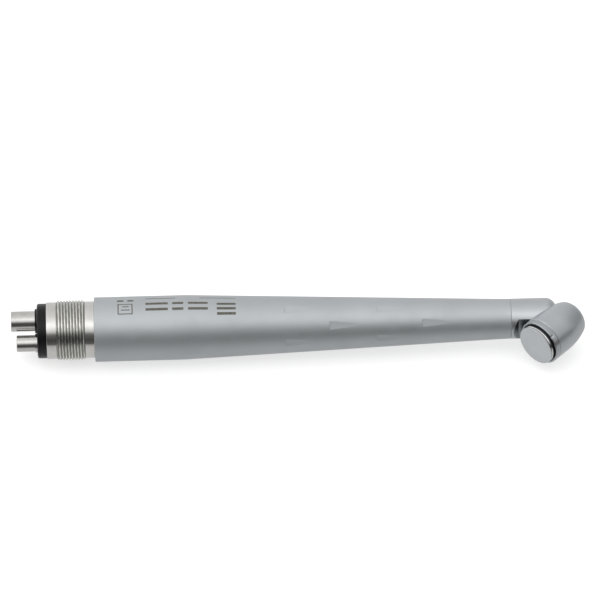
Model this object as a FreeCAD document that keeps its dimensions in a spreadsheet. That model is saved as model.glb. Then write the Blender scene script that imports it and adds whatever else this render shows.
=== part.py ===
"""A high speed dental handpiece with a 45 degree head, as a parametric FreeCAD document.

The handle lies along +X. The hose coupling is at its rear end, and the origin is on the
handle's axis at the rear face of the coupling's gasket. The head's axis lies in the XY plane
and crosses the handle's axis at 45 degrees, with the push button on the -Y side and the bur
end on the +Y side. Sizes are in millimetres.

A turned piece is a PartDesign body: a sketch of its half section, revolved about the body's
own X axis. Head pieces are drawn the same way, and their placement turns X onto the head's
axis, so "along" is the distance towards the bur from the point where the two axes cross.
"""
import FreeCAD, Part
import Sketcher
import math
import os

SIZES = {
    # coupling, as distances along the handle's axis from the gasket's rear face
    "gasket_radius": 6.40,
    "gasket_length": 2.20,
    "gasket_edge": 0.45,
    "gasket_lip": 0.50,
    "gasket_lip_wall": 0.48,
    "collar_radius": 6.65,
    "collar_front": 4.57,
    "thread_radius": 7.02,
    "thread_depth": 0.36,
    "thread_pitch": 0.70,
    "thread_front": 11.10,
    "vee_wide": 0.315,
    "vee_narrow": 0.040,
    "vee_rise": 0.036,
    "collar_edge": 0.20,
    "shell_rear": 13.38,
    "spigot_radius": 6.20,
    "spigot_front": 22.00,
    "tube_front": 12.00,
    "exhaust_radius": 2.38,
    "exhaust_bore": 1.95,
    "exhaust_rear": -6.10,
    "exhaust_offset": 2.34,
    "drive_radius": 1.95,
    "drive_bore": 1.50,
    "drive_rear": -4.90,
    "drive_offset": 2.80,
    "small_tube_radius": 0.85,
    "small_tube_bore": 0.50,
    "small_tube_rear": 0.15,
    "small_tube_offset": 4.30,
    "port_turn": 45.0,
    "tube_shoulder": 0.25,
    "tube_edge": 0.12,
    "seal_section": 0.40,
    "seal_squeeze": 0.02,
    # handle shell
    "shell_radius": 7.55,
    "shell_edge": 0.18,
    "taper_start": 34.70,
    "taper_end": 107.00,
    "taper_end_radius": 4.76,
    "shell_front": 110.70,
    "shell_front_radius": 4.66,
    "seam_edge": 0.07,
    "shell_wall": 0.75,
    "grip_flat_depth": 0.085,
    "grip_flat_length": 6.2,
    "grip_cutter_width": 3.0,
    "grip_first": 57.70,
    "grip_pitch": 21.60,
    "grip_stagger": 10.50,
    "grip_rows": 5,
    "grip_turn": 103.0,
    "grip_stagger_turn": 36.0,
    # neck and head
    "head_centre": 125.06,
    "head_angle": 45.0,
    "neck_radius": 4.70,
    "neck_end": 121.50,
    "neck_end_round": 2.60,
    "neck_spigot_radius": 3.88,
    "neck_spigot_rear": 104.00,
    "neck_bore": 3.30,
    "neck_bore_front": 110.30,
    "neck_flat": 3.45,
    "neck_flat_rear": 112.40,
    "neck_flat_slope": 1.20,
    "barrel_radius": 5.50,
    "barrel_taper_start": -3.40,
    "barrel_taper_round": 16.5,
    "barrel_end": 1.00,
    "barrel_end_radius": 3.88,
    "barrel_end_round": 2.40,
    "cap_seam": -10.08,
    "cap_rim": -11.58,
    "cap_rim_edge": 0.20,
    "cap_rim_bore": 5.04,
    "cap_groove_depth": 0.36,
    "cap_guide_bore": 4.90,
    "cap_floor": -10.25,
    "cap_web": 0.90,
    "cap_thread_radius": 4.93,
    "cap_thread_end": -8.30,
    "cap_skirt_radius": 4.42,
    "cap_skirt_end": -6.20,
    "cap_relief": 0.06,
    "cap_thread_runout": 0.10,
    "cap_notch_radius": 0.55,
    "cap_notch_out": 0.36,
    "cap_notch_length": 1.10,
    "cap_notch_turn": 130.0,
    "chamber_radius": 4.50,
    "chamber_front": -3.12,
    "seat_radius": 3.45,
    "seat_front": -0.55,
    "nose_hole": 1.85,
    # push button and its spring
    "button_face": -12.78,
    "button_radius": 4.86,
    "button_edge": 0.22,
    "button_disc": 1.16,
    "button_skirt_end": -10.90,
    "button_skirt_bore": 4.36,
    "stem_radius": 1.50,
    "stem_end": -8.80,
    "stem_gap": 0.05,
    "stem_recess_gap": 0.40,
    "button_spring_radius": 3.40,
    "button_spring_wire": 0.12,
    "button_spring_turns": 2.0,
    "clip_outer": 2.10,
    "clip_inner": 1.22,
    "clip_thickness": 0.25,
    "clip_play": 0.03,
    "clip_mouth": 1.46,
    # turbine
    "shaft_radius": 1.58,
    "shaft_rear": -8.15,
    "shaft_front": 0.60,
    "shaft_bore": 1.24,
    "nose_bore": 1.00,
    "nose_bore_rear": -0.35,
    "impeller_radius": 4.20,
    "impeller_rear": -5.66,
    "impeller_front": -3.14,
    "impeller_hub": 2.00,
    "impeller_side_gap": 0.12,
    "impeller_buckets": 10,
    "bucket_radius": 1.00,
    "bucket_place": 3.75,
    "bucket_overcut": 0.05,
    "front_bearing_centre": -1.90,
    "rear_bearing_centre": -6.90,
    "bearing_width": 2.38,
    "bearing_outer": 3.175,
    "outer_race_land": 2.72,
    "inner_race_land": 2.04,
    "bearing_bore": 1.5875,
    "ball_radius": 0.50,
    "ball_circle": 2.38,
    "ball_count": 7,
    "race_groove": 0.52,
    "race_mouth": 0.374,
    "race_floor": 0.168,
    "cage_outer": 2.58,
    "cage_inner": 2.18,
    "cage_length": 1.30,
    "cage_end": 0.25,
    "cage_pocket_depth": 2.0,
    "shield_thickness": 0.10,
    "shield_inner": 2.10,
    "shield_gap": 0.02,
    "o_ring_circle": 3.455,
    "o_ring_section": 0.26,
    "o_ring_groove": 3.74,
    "o_ring_groove_width": 0.62,
    "washer_thickness": 0.10,
    "washer_inner": 2.50,
    # chuck
    "collet_outer": 1.22,
    "bur_radius": 0.80,
    "collet_rear": -6.00,
    "collet_front": -0.40,
    "collet_slots": 3,
    "collet_slot": 0.20,
    "collet_slot_length": 3.20,
    "plunger_rear": -8.38,
    "plunger_head": 0.72,
    "plunger_radius": 1.18,
    "plunger_stem": 0.60,
    "plunger_stem_end": -6.62,
    "plunger_point": 0.36,
    "plunger_point_length": 0.30,
    "chuck_spring_radius": 0.97,
    "chuck_spring_wire": 0.11,
    "chuck_spring_turns": 4.0,
    # air and water ways between coupling and head, in the handle's YZ plane
    "drive_pipe_radius": 1.15,
    "drive_pipe_bore": 0.85,
    "small_pipe_radius": 0.55,
    "small_pipe_bore": 0.35,
    "pipe_rear": 12.50,
    "pipe_front": 112.40,
    "pipe_bend_start": 40.0,
    "pipe_bend_end": 72.0,
    "pipe_bend_radius": 90.0,
    "drive_port_y": 0.0,
    "drive_port_z": -2.10,
    "water_port_y": 2.20,
    "water_port_z": 0.0,
    "chip_port_y": 2.20,
    "chip_port_z": 1.25,
    "exhaust_port_y": -1.00,
    "exhaust_port_z": 2.10,
    "jet_radius": 0.80,
    "exhaust_port_radius": 1.00,
    "spray_way_radius": 0.30,
    "way_start": 109.80,
    "air_way_end": 119.96,
    "spray_way_end": 123.31,
    "pipe_socket_end": 112.50,
    "nozzle_radius": 0.45,
    "nozzle_bore": 0.20,
    "nozzle_place": 2.75,
    "nozzle_rear": 0.25,
    "nozzle_end": 0.74,
    "nozzle_edge": 0.05,
    "nozzle_seat": 0.10,
    # clearances
    "fit_gap": 0.02,
    "touch_gap": 0.01,
    "overcut": 1.0,
}


class Length:
    """A number that also remembers the sheet expression that it comes from."""

    def __init__(self, value, text):
        self.value = float(value)
        self.text = text

    @staticmethod
    def wrap(item):
        return item if isinstance(item, Length) else Length(item, repr(item))

    def joined(self, other, sign, value):
        return Length(value, "(" + self.text + " " + sign + " " + other.text + ")")

    def __add__(self, other):
        other = Length.wrap(other)
        return self.joined(other, "+", self.value + other.value)

    def __sub__(self, other):
        other = Length.wrap(other)
        return self.joined(other, "-", self.value - other.value)

    def __mul__(self, other):
        other = Length.wrap(other)
        return self.joined(other, "*", self.value * other.value)

    def __truediv__(self, other):
        other = Length.wrap(other)
        return self.joined(other, "/", self.value / other.value)

    def __neg__(self):
        return Length(-self.value, "(-" + self.text + ")")


class Sheet:
    """The document's spreadsheet; sheet.alias gives that cell as a Length."""

    def __init__(self, doc, sizes):
        self.cells = doc.addObject("Spreadsheet::Sheet", "Sizes")
        for row, (alias, number) in enumerate(sizes.items(), start=1):
            self.cells.set("A%d" % row, alias)
            self.cells.set("B%d" % row, str(number))
            self.cells.setAlias("B%d" % row, alias)
        doc.recompute()

    def __getattr__(self, alias):
        return Length(getattr(self.cells, alias), "Sizes." + alias)


doc = FreeCAD.newDocument("handpiece")
d = Sheet(doc, SIZES)
VEC = FreeCAD.Vector
X_AXIS = VEC(1, 0, 0)
Z_AXIS = VEC(0, 0, 1)
ROOT_POINT = (-1, 1)
pieces = []

# ---------------------------------------------------------------- placements

HANDLE = FreeCAD.Placement()
HEAD = FreeCAD.Placement(VEC(d.head_centre.value, 0, 0), FreeCAD.Rotation(Z_AXIS, d.head_angle.value))


def offset_from_axis(y, z):
    """Placement of a piece that runs along the handle beside its axis."""
    return FreeCAD.Placement(VEC(0, y, z), FreeCAD.Rotation())


def port(turn, distance):
    """Y and Z of a coupling port, which lies at an angle about the handle's axis."""
    angle = math.radians(turn)
    return distance * math.cos(angle), distance * math.sin(angle)


def bind_head(target, prefix):
    """Tie a placement to the cells that say where the head's axis is."""
    target.setExpression(prefix + ".Base.x", d.head_centre.text)
    target.setExpression(prefix + ".Rotation.Angle", d.head_angle.text)


# ---------------------------------------------------------------- building blocks


def new_body(label, placement):
    body = doc.addObject("PartDesign::Body", label)
    body.Label = label
    body.Placement = placement
    if placement is HEAD:
        bind_head(body, "Placement")
    pieces.append(body)
    return body


def new_sketch(body, plane, frame=HANDLE, lift=0.0):
    """A sketch on one of the body's own origin planes, moved by a frame and lifted off it."""
    sketch = body.newObject("Sketcher::SketchObject", body.Name + "_sketch")
    feature = [item for item in body.Origin.OriginFeatures if item.Role == plane][0]
    sketch.AttachmentSupport = [(feature, "")]
    sketch.MapMode = "FlatFace"
    lifted = feature.Placement * FreeCAD.Placement(VEC(0, 0, Length.wrap(lift).value), FreeCAD.Rotation())
    sketch.AttachmentOffset = feature.Placement.inverse() * frame * lifted
    if frame is HEAD and plane == "XY_Plane":
        bind_head(sketch, "AttachmentOffset")
    return sketch


def hold_point(sketch, geometry, place, corner):
    """Bind a point's two distances from the sketch's origin to the sheet."""
    for kind, size in (("DistanceX", corner[0]), ("DistanceY", corner[1])):
        number = sketch.addConstraint(Sketcher.Constraint(kind, *ROOT_POINT, geometry, place, size.value))
        sketch.setExpression("Constraints[%d]" % number, size.text)


def round_corner(sketch, before, after, corner, tangents, turn):
    """Tangent arc between two lines, with the corner that they would meet in kept as a point."""
    point = VEC(corner[0].value, corner[1].value, 0)
    radius = corner[2]
    into, out_of = tangents
    inward = (into + out_of) * 0.5 - point
    inward.normalize()
    half_angle = (into - point).getAngle(inward)
    centre = point + inward * (radius.value / math.sin(half_angle))
    first, last = (into, out_of) if turn > 0 else (out_of, into)
    angles = [math.atan2(end.y - centre.y, end.x - centre.x) for end in (first, last)]
    if angles[1] < angles[0]:
        angles[1] += 2 * math.pi
    arc = sketch.addGeometry(Part.ArcOfCircle(Part.Circle(centre, Z_AXIS, radius.value), *angles), False)
    enters, leaves = (1, 2) if turn > 0 else (2, 1)
    sketch.addConstraint(Sketcher.Constraint("Tangent", before, 2, arc, enters))
    sketch.addConstraint(Sketcher.Constraint("Tangent", after, 1, arc, leaves))
    number = sketch.addConstraint(Sketcher.Constraint("Radius", arc, radius.value))
    sketch.setExpression("Constraints[%d]" % number, radius.text)
    kept = sketch.addGeometry(Part.Point(point), True)
    sketch.addConstraint(Sketcher.Constraint("PointOnObject", kept, 1, before))
    sketch.addConstraint(Sketcher.Constraint("PointOnObject", kept, 1, after))
    hold_point(sketch, kept, 1, corner)


def outline(sketch, corners, closed=True):
    """Run of lines. A corner is (across, up) or, where it is rounded, (across, up, radius)."""
    corners = [tuple(Length.wrap(item) for item in corner) for corner in corners]
    points = [VEC(corner[0].value, corner[1].value, 0) for corner in corners]
    count = len(corners)
    enters, leaves, turns = [], [], []
    for index, corner in enumerate(corners):
        back = points[index - 1] - points[index]
        ahead = points[(index + 1) % count] - points[index]
        turns.append(ahead.cross(back).z)
        reach = corner[2].value / math.tan(back.getAngle(ahead) / 2) if len(corner) == 3 else 0.0
        enters.append(points[index] + back.normalize() * reach)
        leaves.append(points[index] + ahead.normalize() * reach)
    first = sketch.GeometryCount
    lines = count if closed else count - 1
    for index in range(lines):
        line = Part.LineSegment(leaves[index], enters[(index + 1) % count])
        sketch.addGeometry(line, False)
    for index, corner in enumerate(corners):
        before = first + (index - 1) % lines
        after = first + index
        if not closed and index == 0:
            hold_point(sketch, after, 1, corner)
        elif not closed and index == count - 1:
            hold_point(sketch, before, 2, corner)
        elif len(corner) == 3:
            round_corner(sketch, before, after, corner, (enters[index], leaves[index]), turns[index])
        else:
            sketch.addConstraint(Sketcher.Constraint("Coincident", before, 2, after, 1))
            hold_point(sketch, after, 1, corner)


def circle(sketch, across, up, radius):
    """Circle whose centre and radius are bound to the sheet."""
    across, up, radius = Length.wrap(across), Length.wrap(up), Length.wrap(radius)
    centre = VEC(across.value, up.value, 0)
    index = sketch.addGeometry(Part.Circle(centre, Z_AXIS, radius.value), False)
    hold_point(sketch, index, 3, (across, up))
    number = sketch.addConstraint(Sketcher.Constraint("Radius", index, radius.value))
    sketch.setExpression("Constraints[%d]" % number, radius.text)


def revolve(body, corners, cut=False, frame=HANDLE):
    """Turn a half section of (along, radius) corners about the sketch's horizontal axis."""
    sketch = new_sketch(body, "XY_Plane", frame)
    outline(sketch, corners)
    kind = "PartDesign::Groove" if cut else "PartDesign::Revolution"
    feature = body.newObject(kind, body.Name + ("_groove" if cut else "_turned"))
    feature.Profile = sketch
    feature.ReferenceAxis = (sketch, ["H_Axis"])
    feature.Angle = 360
    if cut:
        must_cut(body, feature)
    doc.recompute()
    return feature


def turned(label, placement, corners):
    body = new_body(label, placement)
    revolve(body, corners)
    return body


def drill(body, start, end, holes, frame=HANDLE):
    """Round holes along the frame's X axis; each is (y, z, radius)."""
    start, end = Length.wrap(start), Length.wrap(end)
    sketch = new_sketch(body, "YZ_Plane", frame, end)
    for y, z, radius in holes:
        circle(sketch, y, z, radius)
    feature = body.newObject("PartDesign::Pocket", body.Name + "_holes")
    feature.Profile = sketch
    feature.Length = end.value - start.value
    feature.setExpression("Length", (end - start).text)
    must_cut(body, feature)
    return feature


def must_cut(body, feature):
    """A pocket or groove that misses the solid changes nothing, so compare the volumes."""
    doc.recompute()
    before = feature.BaseFeature.Shape.Volume
    if not feature.Shape.Volume < before - 1e-6:
        raise RuntimeError(body.Label + ": " + feature.Name + " cuts nothing")


def slot(body, corners, width, turn=0.0):
    """Pocket drawn in the plane that holds the X axis, cut to both sides of that plane."""
    frame = FreeCAD.Placement(VEC(), FreeCAD.Rotation(X_AXIS, turn))
    sketch = new_sketch(body, "XY_Plane", frame)
    outline(sketch, corners)
    feature = body.newObject("PartDesign::Pocket", body.Name + "_slot")
    feature.Profile = sketch
    feature.SideType = "Symmetric"
    feature.Length = width.value
    feature.setExpression("Length", width.text)
    must_cut(body, feature)
    return feature


def around(body, feature, count):
    """Repeat a feature around the body's X axis."""
    pattern = body.newObject("PartDesign::PolarPattern", body.Name + "_pattern")
    axis = [item for item in body.Origin.OriginFeatures if item.Role == "X_Axis"][0]
    pattern.Originals = [feature]
    pattern.Axis = (axis, [""])
    pattern.Angle = 360
    pattern.Occurrences = int(count.value)
    pattern.setExpression("Occurrences", count.text)
    body.Tip = pattern
    doc.recompute()
    return pattern


def coil(label, placement, start, radius, wire, span, turns):
    """Spring of round wire wound about the body's X axis."""
    body = new_body(label, placement)
    sketch = new_sketch(body, "XY_Plane")
    circle(sketch, start, radius, wire)
    feature = body.newObject("PartDesign::AdditiveHelix", body.Name + "_helix")
    feature.Profile = sketch
    feature.ReferenceAxis = (sketch, ["H_Axis"])
    feature.Mode = 0
    feature.Pitch = (span / turns).value
    feature.setExpression("Pitch", (span / turns).text)
    feature.Height = span.value
    feature.setExpression("Height", span.text)
    doc.recompute()
    return body


def sweep(body, kind, spine, start, radius):
    """Round bar swept along a spine that starts along the body's X axis."""
    section = new_sketch(body, "YZ_Plane", HANDLE, start)
    circle(section, 0.0, 0.0, radius)
    feature = body.newObject(kind, body.Name + "_pipe")
    feature.Profile = section
    feature.Spine = spine
    doc.recompute()
    return feature


def pipe(label, rear, front, outer, bore):
    """Pipe from a coupling port to a neck port, with one gentle double bend between them."""
    step = VEC(0, front[0] - rear[0], front[1] - rear[1])
    turn = math.degrees(math.atan2(step.z, step.y))
    rise = step.Length
    body = new_body(label, FreeCAD.Placement(VEC(0, *rear), FreeCAD.Rotation(X_AXIS, turn)))
    spine = new_sketch(body, "XY_Plane")
    bends = [
        (d.pipe_rear, 0.0),
        (d.pipe_bend_start, 0.0, d.pipe_bend_radius),
        (d.pipe_bend_end, rise, d.pipe_bend_radius),
        (d.pipe_front, rise)]
    outline(spine, bends, closed=False)
    sweep(body, "PartDesign::AdditivePipe", spine, d.pipe_rear, outer)
    sweep(body, "PartDesign::SubtractivePipe", spine, d.pipe_rear, bore)
    return body


def ring_of_rubber(label, frame, along, circle_radius, section):
    """O-ring: a torus about the frame's X axis."""
    torus = doc.addObject("Part::Torus", label)
    torus.Label = label
    torus.setExpression("Radius1", circle_radius.text)
    torus.setExpression("Radius2", section.text)
    stand_up = FreeCAD.Rotation(VEC(0, 1, 0), 90)
    torus.Placement = frame * FreeCAD.Placement(VEC(along.value, 0, 0), stand_up)
    pieces.append(torus)
    return torus


def tube(start, end, outer, bore, edge):
    """Half section of a plain tube with a small chamfer at its start."""
    return [
        (start, bore),
        (start, outer - edge),
        (start + edge, outer),
        (end, outer),
        (end, bore)]


# ---------------------------------------------------------------- hose coupling

EXHAUST = port(d.port_turn.value, d.exhaust_offset.value)
DRIVE = port(d.port_turn.value + 180, d.drive_offset.value)
WATER = port(d.port_turn.value - 90, d.small_tube_offset.value)
CHIP = port(d.port_turn.value + 90, d.small_tube_offset.value)

gasket = turned("coupling_gasket", HANDLE, [
    (0.0, 0.0),
    (0.0, d.gasket_radius, d.gasket_edge),
    (d.gasket_length, d.gasket_radius),
    (d.gasket_length, 0.0)])
lip = new_sketch(gasket, "YZ_Plane", HANDLE, -d.gasket_lip)
circle(lip, *EXHAUST, d.exhaust_radius + d.gasket_lip_wall)
lip_pad = gasket.newObject("PartDesign::Pad", "gasket_lip_pad")
lip_pad.Profile = lip
lip_pad.Length = (d.gasket_lip + d.overcut).value
lip_pad.setExpression("Length", (d.gasket_lip + d.overcut).text)
doc.recompute()
drill(gasket, -d.gasket_lip - d.overcut, d.gasket_length, [
    (*EXHAUST, d.exhaust_radius + d.tube_shoulder + d.fit_gap),
    (*DRIVE, d.drive_radius + d.tube_shoulder + d.fit_gap),
    (*WATER, d.small_tube_radius + d.fit_gap),
    (*CHIP, d.small_tube_radius + d.fit_gap)])

collar_lip = d.collar_radius - d.collar_edge
seal_rear = d.spigot_front - d.seal_section * 6
seal_front = d.spigot_front - d.seal_section * 3
coupling = turned("coupling_body", HANDLE, [
    (d.gasket_length, 0.0),
    (d.gasket_length, collar_lip),
    (d.gasket_length + d.collar_edge, d.collar_radius),
    (d.collar_front - d.collar_edge, d.collar_radius),
    (d.collar_front, collar_lip),
    (d.collar_front, d.thread_radius - d.thread_depth),
    (d.collar_front + d.thread_depth, d.thread_radius),
    (d.thread_front - d.thread_depth, d.thread_radius),
    (d.thread_front, d.thread_radius - d.thread_depth),
    (d.thread_front, collar_lip),
    (d.thread_front + d.collar_edge, d.collar_radius),
    (d.shell_rear - d.fit_gap, d.collar_radius),
    (d.shell_rear - d.fit_gap, d.spigot_radius),
    (seal_rear, d.spigot_radius),
    (seal_rear, d.spigot_radius - d.seal_section * 2),
    (seal_front, d.spigot_radius - d.seal_section * 2),
    (seal_front, d.spigot_radius),
    (d.spigot_front, d.spigot_radius),
    (d.spigot_front, 0.0)])
vee = new_sketch(coupling, "XY_Plane")
outline(vee, [
    (d.collar_front - d.vee_wide, d.thread_radius + d.vee_rise),
    (d.collar_front - d.vee_narrow, d.thread_radius - d.thread_depth),
    (d.collar_front + d.vee_narrow, d.thread_radius - d.thread_depth),
    (d.collar_front + d.vee_wide, d.thread_radius + d.vee_rise)])
thread = coupling.newObject("PartDesign::SubtractiveHelix", "coupling_thread")
thread.Profile = vee
thread.ReferenceAxis = (vee, ["H_Axis"])
thread.Mode = 0
thread.Pitch = d.thread_pitch.value
thread.setExpression("Pitch", d.thread_pitch.text)
thread.Height = (d.thread_front - d.collar_front).value
thread.setExpression("Height", (d.thread_front - d.collar_front).text)
must_cut(coupling, thread)
drill(coupling, d.gasket_length - d.overcut, d.tube_front, [
    (*EXHAUST, d.exhaust_radius + d.tube_shoulder + d.fit_gap),
    (*DRIVE, d.drive_radius + d.tube_shoulder + d.fit_gap),
    (*WATER, d.small_tube_radius + d.fit_gap),
    (*CHIP, d.small_tube_radius + d.fit_gap)])
drill(coupling, d.tube_front, d.spigot_front + d.overcut, [
    (*EXHAUST, d.exhaust_bore),
    (*DRIVE, d.drive_pipe_radius + d.fit_gap),
    (*WATER, d.small_pipe_radius + d.fit_gap),
    (*CHIP, d.small_pipe_radius + d.fit_gap)])

for label, place, radius, bore, rear in (
        ("exhaust_tube", EXHAUST, d.exhaust_radius, d.exhaust_bore, d.exhaust_rear),
        ("drive_air_tube", DRIVE, d.drive_radius, d.drive_bore, d.drive_rear)):
    turned(label, offset_from_axis(*place), [
        (rear, bore + d.tube_edge),
        (rear, radius - d.tube_edge),
        (rear + d.tube_edge, radius),
        (-d.gasket_lip - d.fit_gap, radius),
        (-d.gasket_lip - d.fit_gap, radius + d.tube_shoulder),
        (d.tube_front - d.fit_gap, radius + d.tube_shoulder),
        (d.tube_front - d.fit_gap, bore),
        (rear + d.tube_edge, bore)])
for label, place in (("water_tube", WATER), ("chip_air_tube", CHIP)):
    section = tube(
        d.small_tube_rear, d.tube_front - d.fit_gap, d.small_tube_radius, d.small_tube_bore, d.tube_edge)
    turned(label, offset_from_axis(*place), section)

seal_circle = d.spigot_radius - d.seal_section - d.seal_squeeze
seal_wire = d.seal_section - d.seal_squeeze
ring_of_rubber("coupling_o_ring", HANDLE, (seal_rear + seal_front) / 2, seal_circle, seal_wire)

# ---------------------------------------------------------------- handle shell

slope = (d.taper_end_radius - d.shell_radius) / (d.taper_end - d.taper_start)
shell = turned("handle_shell", HANDLE, [
    (d.shell_rear, d.spigot_radius + d.fit_gap),
    (d.shell_rear, d.shell_radius - d.shell_edge),
    (d.shell_rear + d.shell_edge, d.shell_radius),
    (d.taper_start, d.shell_radius),
    (d.taper_end, d.taper_end_radius),
    (d.shell_front - d.seam_edge, d.shell_front_radius),
    (d.shell_front, d.shell_front_radius - d.seam_edge),
    (d.shell_front, d.neck_spigot_radius + d.fit_gap),
    (d.neck_spigot_rear - d.overcut, d.neck_spigot_radius + d.fit_gap),
    (d.taper_start, d.shell_radius - d.shell_wall),
    (d.spigot_front + d.overcut, d.shell_radius - d.shell_wall),
    (d.spigot_front, d.spigot_radius + d.fit_gap)])
for staggered in (0, 1):
    turn = d.grip_turn + d.grip_stagger_turn * staggered
    for step in (0, 1):
        blunt = d.grip_first + d.grip_stagger * staggered + d.grip_pitch * step
        tip = blunt + d.grip_flat_length
        at_blunt = d.shell_radius + slope * (blunt - d.taper_start)
        at_tip = d.shell_radius + slope * (tip - d.taper_start)
        flat = slot(shell, [
            (blunt, at_blunt - d.grip_flat_depth),
            (tip, at_tip),
            (tip, at_tip + d.overcut),
            (blunt, at_blunt + d.overcut)], d.grip_cutter_width, turn.value)
        around(shell, flat, d.grip_rows)

# ---------------------------------------------------------------- head housing

neck_face = d.shell_front + d.fit_gap
housing = turned("head_housing", HANDLE, [
    (d.neck_spigot_rear, 0.0),
    (d.neck_spigot_rear, d.neck_spigot_radius),
    (neck_face, d.neck_spigot_radius),
    (neck_face, d.neck_radius - d.seam_edge),
    (neck_face + d.seam_edge, d.neck_radius),
    (d.neck_end, d.neck_radius, d.neck_end_round),
    (d.neck_end, 0.0)])
flat_drop = d.neck_radius - d.neck_flat
slot(housing, [
    (d.neck_flat_rear, -d.neck_flat),
    (d.neck_flat_rear - d.neck_flat_slope * 2, -d.neck_flat - flat_drop * 2),
    (d.neck_end + d.overcut, -d.neck_flat - flat_drop * 2),
    (d.neck_end + d.overcut, -d.neck_flat)], d.neck_radius * 3)
revolve(housing, [
    (d.cap_seam, 0.0),
    (d.cap_seam, d.barrel_radius - d.seam_edge),
    (d.cap_seam + d.seam_edge, d.barrel_radius),
    (d.barrel_taper_start, d.barrel_radius, d.barrel_taper_round),
    (d.barrel_end, d.barrel_end_radius, d.barrel_end_round),
    (d.barrel_end, 0.0)], frame=HEAD)
revolve(housing, [
    (d.cap_rim - d.overcut * 3, 0.0),
    (d.cap_rim - d.overcut * 3, d.barrel_radius + d.cap_relief),
    (d.cap_seam, d.barrel_radius + d.cap_relief),
    (d.cap_seam, 0.0)], cut=True, frame=HEAD)
half_groove = d.o_ring_groove_width / 2
revolve(housing, [
    (d.cap_seam - d.overcut, 0.0),
    (d.cap_seam - d.overcut, d.cap_thread_radius + d.fit_gap),
    (d.cap_thread_end + d.cap_thread_runout, d.cap_thread_radius + d.fit_gap),
    (d.cap_thread_end + d.cap_thread_runout, d.chamber_radius),
    (d.chamber_front, d.chamber_radius),
    (d.chamber_front, d.seat_radius),
    (d.front_bearing_centre - half_groove, d.seat_radius),
    (d.front_bearing_centre - half_groove, d.o_ring_groove),
    (d.front_bearing_centre + half_groove, d.o_ring_groove),
    (d.front_bearing_centre + half_groove, d.seat_radius),
    (d.seat_front, d.seat_radius),
    (d.seat_front, d.nose_hole),
    (d.barrel_end + d.overcut, d.nose_hole),
    (d.barrel_end + d.overcut, 0.0)], cut=True, frame=HEAD)
revolve(housing, [
    (d.neck_spigot_rear - d.overcut, 0.0),
    (d.neck_spigot_rear - d.overcut, d.neck_bore),
    (d.neck_bore_front, d.neck_bore),
    (d.neck_bore_front, 0.0)], cut=True)

# Each way from the neck's bore runs parallel to the handle until it meets the head's chamber
# or, for the spray, a nozzle hole.
drive_port = (d.drive_port_y, d.drive_port_z)
water_port = (d.water_port_y, d.water_port_z)
chip_port = (d.chip_port_y, d.chip_port_z)
drill(housing, d.way_start, d.pipe_socket_end, [
    (*drive_port, d.drive_pipe_radius + d.fit_gap),
    (*water_port, d.small_pipe_radius + d.fit_gap),
    (*chip_port, d.small_pipe_radius + d.fit_gap)])
drill(housing, d.way_start, d.air_way_end, [
    (*drive_port, d.jet_radius),
    (d.exhaust_port_y, d.exhaust_port_z, d.exhaust_port_radius)])
drill(housing, d.way_start, d.spray_way_end, [
    (*water_port, d.spray_way_radius),
    (*chip_port, d.spray_way_radius)])
nozzle_places = {"water_nozzle": (d.nozzle_place, 0.0), "chip_air_nozzle": (d.nozzle_place, d.chip_port_z)}
drill(housing, d.nozzle_rear - d.nozzle_seat, d.barrel_end + d.overcut, [
    (*place, d.nozzle_radius + d.touch_gap) for place in nozzle_places.values()], HEAD)
for label, place in nozzle_places.items():
    y, z = (Length.wrap(item).value for item in place)
    section = tube(d.nozzle_rear, d.nozzle_end, d.nozzle_radius, d.nozzle_bore, d.nozzle_edge)
    turned(label, HEAD * offset_from_axis(y, z), section)

for label, rear, front, outer, bore in (
        ("drive_air_pipe", DRIVE, drive_port, d.drive_pipe_radius, d.drive_pipe_bore),
        ("water_pipe", WATER, water_port, d.small_pipe_radius, d.small_pipe_bore),
        ("chip_air_pipe", CHIP, chip_port, d.small_pipe_radius, d.small_pipe_bore)):
    pipe(label, rear, tuple(item.value for item in front), outer, bore)

# ---------------------------------------------------------------- back cap and push button

web_front = d.cap_floor + d.cap_web
rear_shoulder = d.rear_bearing_centre - d.bearing_width / 2 - d.fit_gap
cap = turned("back_cap", HEAD, [
    (d.cap_rim, d.cap_rim_bore),
    (d.cap_rim, d.barrel_radius - d.cap_rim_edge),
    (d.cap_rim + d.cap_rim_edge, d.barrel_radius),
    (d.cap_seam - d.touch_gap - d.seam_edge, d.barrel_radius),
    (d.cap_seam - d.touch_gap, d.barrel_radius - d.seam_edge),
    (d.cap_seam - d.touch_gap, d.cap_thread_radius),
    (d.cap_thread_end, d.cap_thread_radius),
    (d.cap_thread_end, d.cap_skirt_radius),
    (d.cap_skirt_end, d.cap_skirt_radius),
    (d.cap_skirt_end, d.seat_radius),
    (d.rear_bearing_centre + half_groove, d.seat_radius),
    (d.rear_bearing_centre + half_groove, d.o_ring_groove),
    (d.rear_bearing_centre - half_groove, d.o_ring_groove),
    (d.rear_bearing_centre - half_groove, d.seat_radius),
    (rear_shoulder, d.seat_radius),
    (rear_shoulder, d.clip_outer + d.stem_recess_gap),
    (web_front, d.clip_outer + d.stem_recess_gap),
    (web_front, d.stem_radius + d.stem_gap),
    (d.cap_floor, d.stem_radius + d.stem_gap),
    (d.cap_floor, d.cap_guide_bore),
    (d.cap_rim + d.cap_groove_depth, d.cap_guide_bore),
    (d.cap_rim + d.cap_groove_depth, d.cap_rim_bore)])
notch_y, notch_z = port(d.cap_notch_turn.value, (d.barrel_radius + d.cap_notch_out).value)
drill(cap, d.cap_rim - d.overcut, d.cap_rim + d.cap_notch_length, [
    (notch_y, notch_z, d.cap_notch_radius),
    (-notch_y, -notch_z, d.cap_notch_radius)])

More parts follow.
